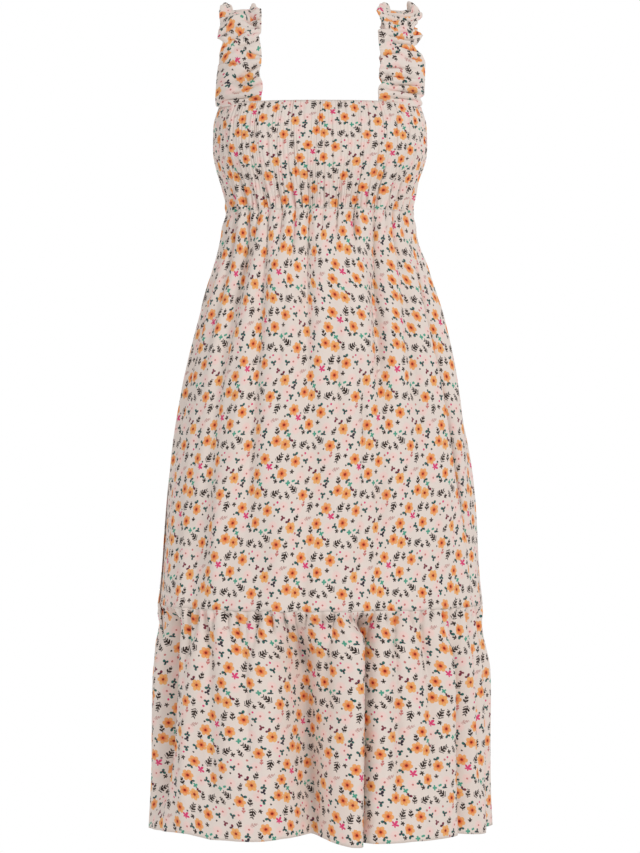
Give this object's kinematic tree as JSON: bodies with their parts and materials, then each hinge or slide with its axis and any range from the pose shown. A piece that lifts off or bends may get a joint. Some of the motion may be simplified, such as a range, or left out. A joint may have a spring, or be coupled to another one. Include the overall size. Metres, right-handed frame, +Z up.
{
  "type": "midi dress",
  "caption": "Sleeveless midi dress with frilled elastic straps, shirred square-neck bodice, gathered skirt and hem ruffle, filled out as worn.",
  "frame": {"origin": "between the straps on the line where the wearer's shoulders carry them, over the middle of the body", "axes": "+Z up, along the length of the worn dress; the front faces -Y; +X is the wearer's left"},
  "size_m": [0.4835, 0.3762, 1.1677],
  "materials": {
    "printed_cloth": "light matt crepe with a small scattered flower print on cream"
  },
  "bodies": {
    "root": {"bodice_front": "printed_cloth", "bodice_back": "printed_cloth", "skirt_front": "printed_cloth", "skirt_back": "printed_cloth", "ruffle_front": "printed_cloth", "ruffle_back": "printed_cloth", "strap_left": "printed_cloth", "strap_right": "printed_cloth"}
  },
  "joints": []
}
